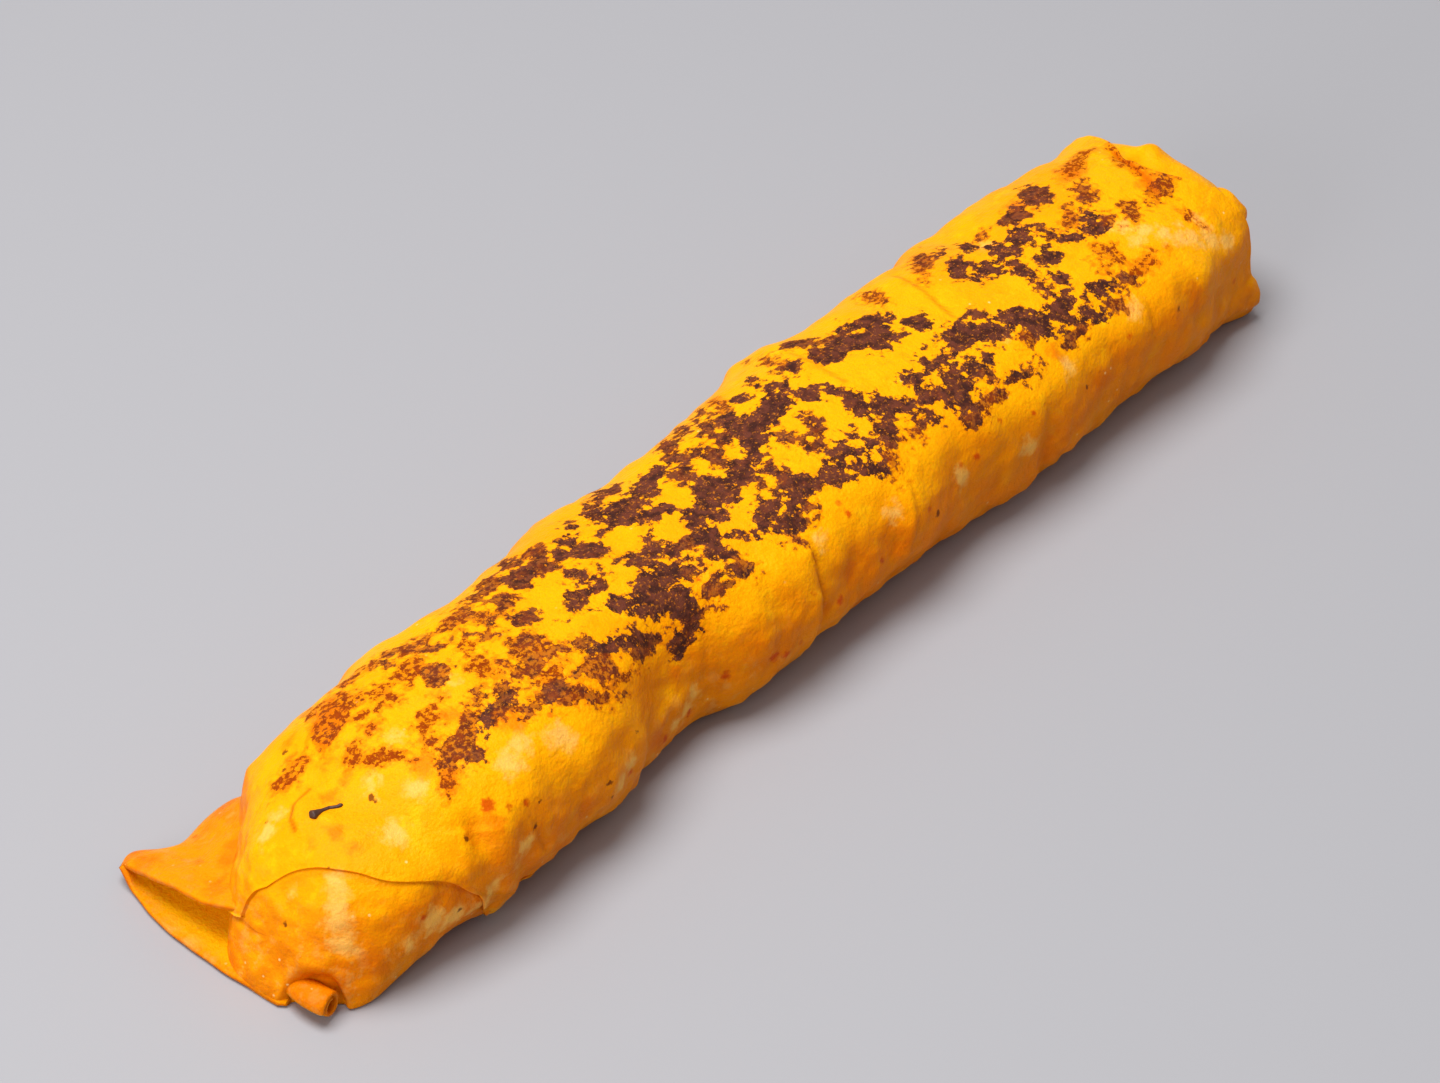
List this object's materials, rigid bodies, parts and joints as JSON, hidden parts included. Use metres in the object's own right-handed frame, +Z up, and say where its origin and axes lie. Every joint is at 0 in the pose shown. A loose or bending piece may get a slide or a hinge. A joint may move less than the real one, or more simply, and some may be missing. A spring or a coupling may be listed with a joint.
{
  "type": "shawarma wrap",
  "caption": "Griddled flatbread rolled shut round its filling, one end folded flat with an open corner, the other tucked in.",
  "frame": {"origin": "on the surface the roll rests on, under the middle of its centre line", "axes": "+X along the roll, from the end with the open corner to the tucked end; +Y towards the left flank; +Z up"},
  "size_m": [0.2692, 0.0637, 0.032],
  "materials": {
    "griddled_flatbread": "yellow-orange flatbread, soft and lightly oiled, with dark griddle char on top"
  },
  "bodies": {
    "root": {"wrap": "griddled_flatbread"}
  },
  "joints": []
}
